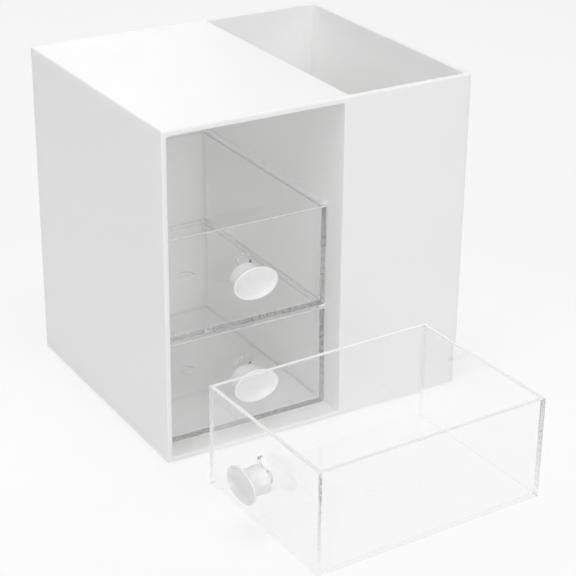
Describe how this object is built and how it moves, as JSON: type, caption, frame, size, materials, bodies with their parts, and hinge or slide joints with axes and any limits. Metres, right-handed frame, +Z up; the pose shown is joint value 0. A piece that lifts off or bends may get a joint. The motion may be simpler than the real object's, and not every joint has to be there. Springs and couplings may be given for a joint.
{
  "type": "makeup organizer",
  "caption": "Desktop makeup organizer: a white case with a stack of clear pull-out drawers with oval knobs beside a tall open-topped brush compartment, one drawer standing out on the table.",
  "frame": {"origin": "on the table, under the middle of the case's footprint", "axes": "+X to the right of someone facing the drawers, +Y to the back of the case, +Z up"},
  "size_m": [0.1702, 0.2609, 0.171],
  "materials": {
    "white_plastic": "satin white moulding",
    "clear_plastic": "clear polished",
    "knob_plastic": "satin white moulding",
    "pad_rubber": "matt light grey"
  },
  "bodies": {
    "case": {"case": "white_plastic", "foot_front_left": "pad_rubber", "foot_front_right": "pad_rubber", "foot_rear_left": "pad_rubber", "foot_rear_right": "pad_rubber"},
    "bottom_drawer": {"bottom_drawer": "clear_plastic", "bottom_knob": "knob_plastic"},
    "middle_drawer": {"middle_drawer": "clear_plastic", "middle_knob": "knob_plastic"},
    "top_drawer": {"top_drawer": "clear_plastic", "top_knob": "knob_plastic"}
  },
  "joints": [
    {"name": "bottom_drawer_slide", "type": "slide", "parent": "case", "child": "bottom_drawer", "axis": [0, -1, 0], "range_m": [-0.0045, 0.1]},
    {"name": "middle_drawer_slide", "type": "slide", "parent": "case", "child": "middle_drawer", "axis": [0, -1, 0], "range_m": [-0.0045, 0.1]},
    {"name": "top_drawer_lift", "type": "slide", "parent": "bottom_drawer", "child": "top_drawer", "axis": [0, 0, 1], "range_m": [0, 0.1138]}
  ]
}
